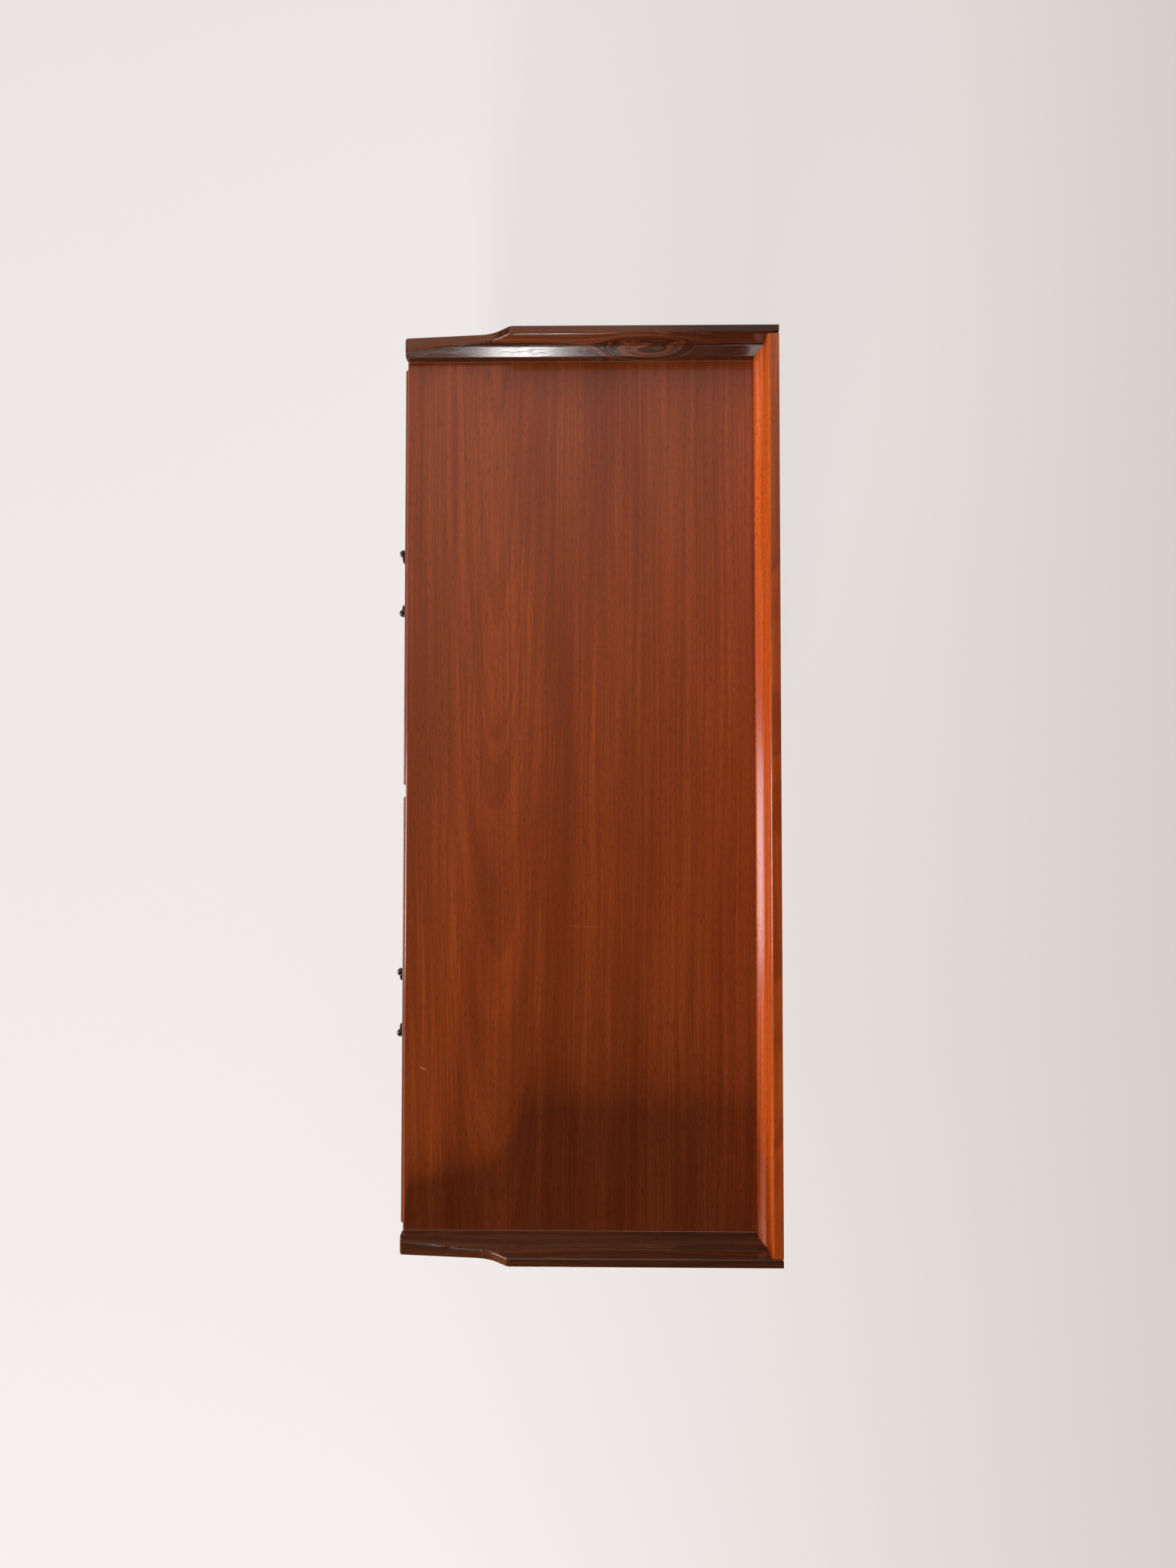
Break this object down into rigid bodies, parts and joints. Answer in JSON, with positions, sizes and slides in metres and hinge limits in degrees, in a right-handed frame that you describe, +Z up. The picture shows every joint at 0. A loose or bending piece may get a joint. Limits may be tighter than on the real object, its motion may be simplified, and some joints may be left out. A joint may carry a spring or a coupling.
{
  "type": "chest of drawers",
  "caption": "Free-standing wooden cabinet with graduated drawers on runners, bail pulls, and a coved gallery round the back and sides of its top.",
  "frame": {"origin": "on the floor, under the middle of the overall box, pulls included", "axes": "+Z up, +Y towards the back, +X towards the right side as seen from the front"},
  "size_m": [1.086, 0.464, 0.7265],
  "materials": {
    "rosewood": "polished dark figured wood",
    "mahogany": "polished red-brown wood",
    "ribbon_mahogany": "polished wood with ribbon stripe",
    "oak": "plain planed wood",
    "panel_wood": "plain thin board",
    "bronze": "dark patinated"
  },
  "bodies": {
    "case": {"left_side": "rosewood", "right_side": "rosewood", "left_gallery": "rosewood", "right_gallery": "rosewood", "top_panel": "mahogany", "back_gallery": "ribbon_mahogany", "bottom_panel": "mahogany", "centre_divider": "mahogany", "back_panel": "panel_wood", "plinth_rails": "rosewood", "drawer_rails": "mahogany", "drawer_runners": "oak", "drawer_stops": "oak"},
    "upper_left_drawer": {"upper_left_drawer_front": "mahogany", "upper_left_drawer_left_side": "oak", "upper_left_drawer_right_side": "oak", "upper_left_drawer_back": "oak", "upper_left_drawer_bottom": "panel_wood", "upper_left_pull_posts": "bronze"},
    "upper_left_bail": {"upper_left_bail": "bronze"},
    "upper_right_drawer": {"upper_right_drawer_front": "mahogany", "upper_right_drawer_left_side": "oak", "upper_right_drawer_right_side": "oak", "upper_right_drawer_back": "oak", "upper_right_drawer_bottom": "panel_wood", "upper_right_pull_posts": "bronze"},
    "upper_right_bail": {"upper_right_bail": "bronze"},
    "middle_left_drawer": {"middle_left_drawer_front": "mahogany", "middle_left_drawer_left_side": "oak", "middle_left_drawer_right_side": "oak", "middle_left_drawer_back": "oak", "middle_left_drawer_bottom": "panel_wood", "middle_left_pull_posts": "bronze"},
    "middle_left_bail": {"middle_left_bail": "bronze"},
    "middle_right_drawer": {"middle_right_drawer_front": "mahogany", "middle_right_drawer_left_side": "oak", "middle_right_drawer_right_side": "oak", "middle_right_drawer_back": "oak", "middle_right_drawer_bottom": "panel_wood", "middle_right_pull_posts": "bronze"},
    "middle_right_bail": {"middle_right_bail": "bronze"},
    "lower_left_drawer": {"lower_left_drawer_front": "mahogany", "lower_left_drawer_left_side": "oak", "lower_left_drawer_right_side": "oak", "lower_left_drawer_back": "oak", "lower_left_drawer_bottom": "panel_wood", "lower_left_pull_posts": "bronze"},
    "lower_left_bail": {"lower_left_bail": "bronze"},
    "lower_right_drawer": {"lower_right_drawer_front": "mahogany", "lower_right_drawer_left_side": "oak", "lower_right_drawer_right_side": "oak", "lower_right_drawer_back": "oak", "lower_right_drawer_bottom": "panel_wood", "lower_right_pull_posts": "bronze"},
    "lower_right_bail": {"lower_right_bail": "bronze"}
  },
  "joints": [
    {"name": "upper_left_drawer_slide", "type": "slide", "parent": "case", "child": "upper_left_drawer", "axis": [0, -1, 0], "range_m": [0, 0.3]},
    {"name": "upper_left_bail_hinge", "type": "hinge", "parent": "upper_left_drawer", "child": "upper_left_bail", "pos_m": [-0.26475, -0.227, 0.61675], "axis": [-1, 0, 0], "range_deg": [-15, 195]},
    {"name": "upper_right_drawer_slide", "type": "slide", "parent": "case", "child": "upper_right_drawer", "axis": [0, -1, 0], "range_m": [0, 0.3]},
    {"name": "upper_right_bail_hinge", "type": "hinge", "parent": "upper_right_drawer", "child": "upper_right_bail", "pos_m": [0.26475, -0.227, 0.61675], "axis": [-1, 0, 0], "range_deg": [-15, 195]},
    {"name": "middle_left_drawer_slide", "type": "slide", "parent": "case", "child": "middle_left_drawer", "axis": [0, -1, 0], "range_m": [0, 0.3]},
    {"name": "middle_left_bail_hinge", "type": "hinge", "parent": "middle_left_drawer", "child": "middle_left_bail", "pos_m": [-0.26475, -0.227, 0.45875], "axis": [-1, 0, 0], "range_deg": [-15, 195]},
    {"name": "middle_right_drawer_slide", "type": "slide", "parent": "case", "child": "middle_right_drawer", "axis": [0, -1, 0], "range_m": [0, 0.3]},
    {"name": "middle_right_bail_hinge", "type": "hinge", "parent": "middle_right_drawer", "child": "middle_right_bail", "pos_m": [0.26475, -0.227, 0.45875], "axis": [-1, 0, 0], "range_deg": [-15, 195]},
    {"name": "lower_left_drawer_slide", "type": "slide", "parent": "case", "child": "lower_left_drawer", "axis": [0, -1, 0], "range_m": [0, 0.3]},
    {"name": "lower_left_bail_hinge", "type": "hinge", "parent": "lower_left_drawer", "child": "lower_left_bail", "pos_m": [-0.26475, -0.227, 0.25575], "axis": [-1, 0, 0], "range_deg": [-15, 195]},
    {"name": "lower_right_drawer_slide", "type": "slide", "parent": "case", "child": "lower_right_drawer", "axis": [0, -1, 0], "range_m": [0, 0.3]},
    {"name": "lower_right_bail_hinge", "type": "hinge", "parent": "lower_right_drawer", "child": "lower_right_bail", "pos_m": [0.26475, -0.227, 0.25575], "axis": [-1, 0, 0], "range_deg": [-15, 195]}
  ]
}
